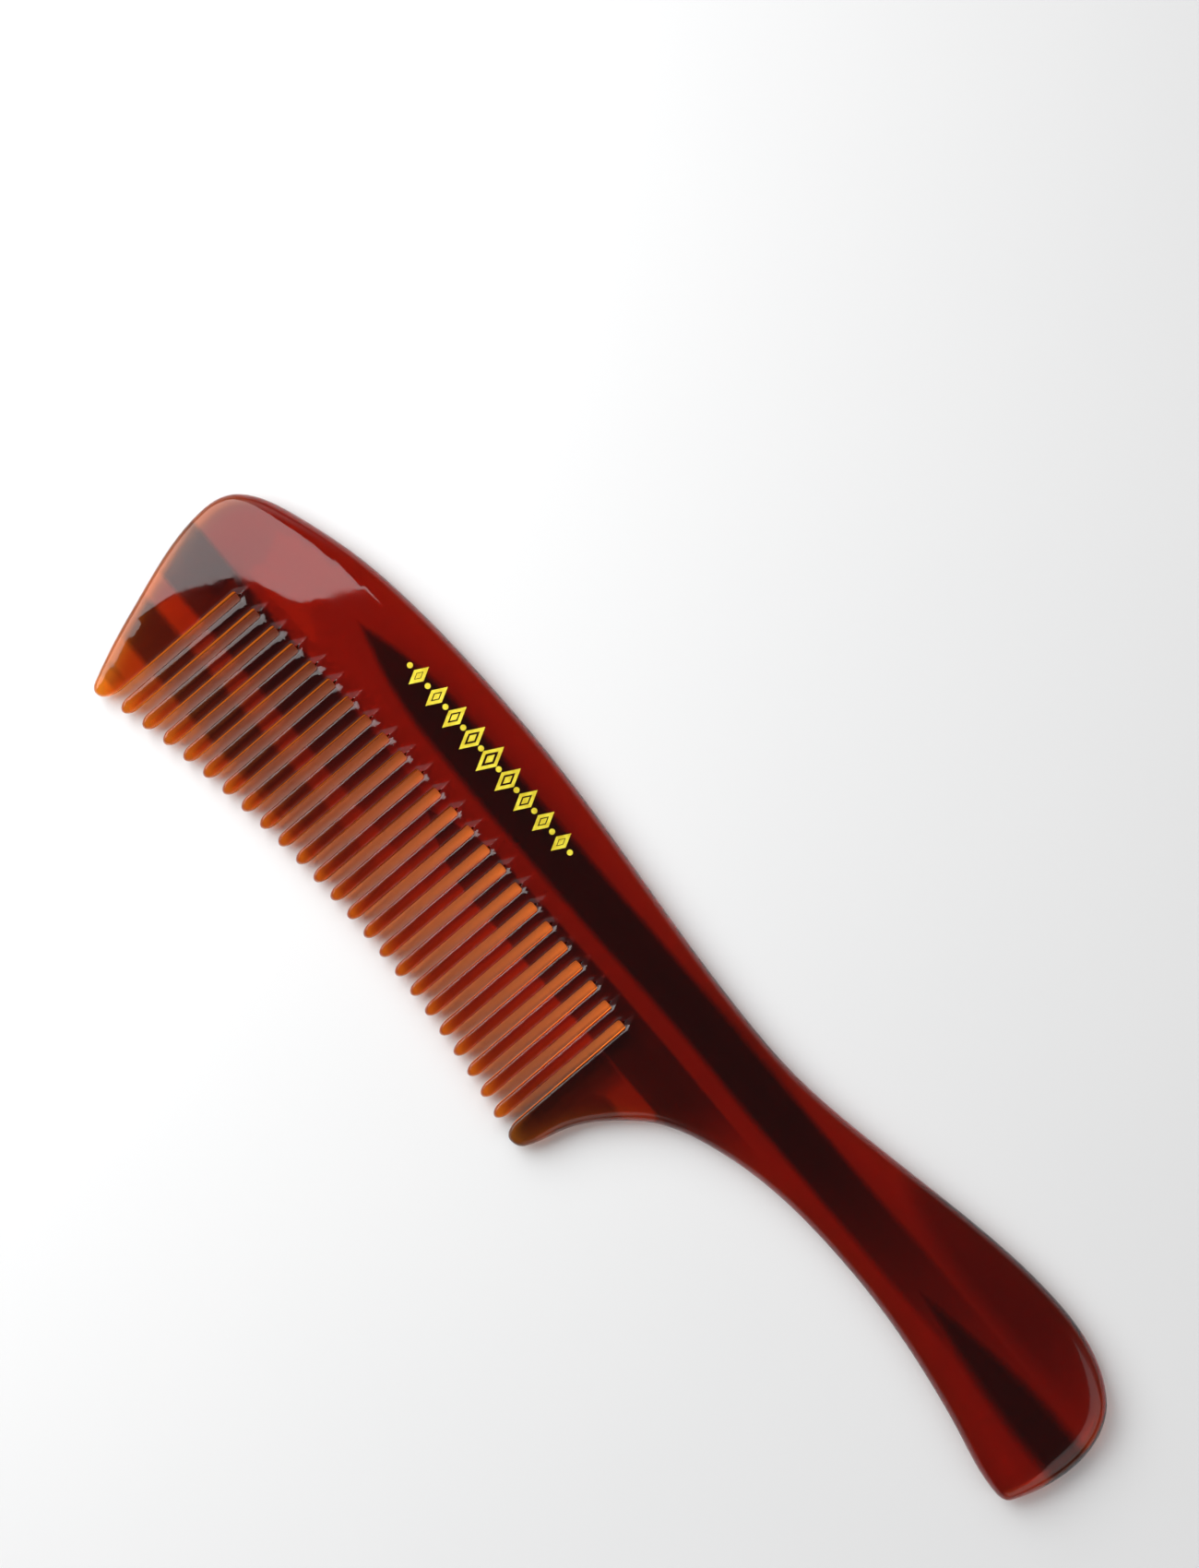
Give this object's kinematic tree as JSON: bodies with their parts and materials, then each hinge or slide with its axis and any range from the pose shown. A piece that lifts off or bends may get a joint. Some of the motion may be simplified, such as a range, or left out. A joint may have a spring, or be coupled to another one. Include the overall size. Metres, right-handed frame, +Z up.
{
  "type": "hair comb",
  "caption": "Tortoiseshell rake comb with a flared handle: wide saw-cut teeth between two guard teeth, rounded back and a stamped gilt ornament.",
  "frame": {"origin": "middle of the comb's overall length and width, on the surface it lies on (the underside of its flat faces)", "axes": "+X along the comb from the head to the handle, +Y from the tooth tips to the back edge, +Z up through the thickness; the comb lies flat with the gilt ornament up"},
  "size_m": [0.19, 0.0494, 0.0046],
  "materials": {
    "tortoiseshell_acetate": "hand-polished translucent tortoiseshell, red-brown with near-black streaks along the comb and amber tips",
    "gilt_foil": "hot-stamped gold foil, slightly worn"
  },
  "bodies": {
    "root": {"spine": "tortoiseshell_acetate", "handle": "tortoiseshell_acetate", "front_guard_tooth": "tortoiseshell_acetate", "heel_guard_tooth": "tortoiseshell_acetate", "tooth_01": "tortoiseshell_acetate", "tooth_02": "tortoiseshell_acetate", "tooth_03": "tortoiseshell_acetate", "tooth_04": "tortoiseshell_acetate", "tooth_05": "tortoiseshell_acetate", "tooth_06": "tortoiseshell_acetate", "tooth_07": "tortoiseshell_acetate", "tooth_08": "tortoiseshell_acetate", "tooth_09": "tortoiseshell_acetate", "tooth_10": "tortoiseshell_acetate", "tooth_11": "tortoiseshell_acetate", "tooth_12": "tortoiseshell_acetate", "tooth_13": "tortoiseshell_acetate", "tooth_14": "tortoiseshell_acetate", "tooth_15": "tortoiseshell_acetate", "tooth_16": "tortoiseshell_acetate", "tooth_17": "tortoiseshell_acetate", "tooth_18": "tortoiseshell_acetate", "tooth_19": "tortoiseshell_acetate", "tooth_20": "tortoiseshell_acetate", "tooth_21": "tortoiseshell_acetate", "tooth_22": "tortoiseshell_acetate", "tooth_23": "tortoiseshell_acetate", "gilt_lozenges": "gilt_foil", "gilt_dots": "gilt_foil"}
  },
  "joints": []
}
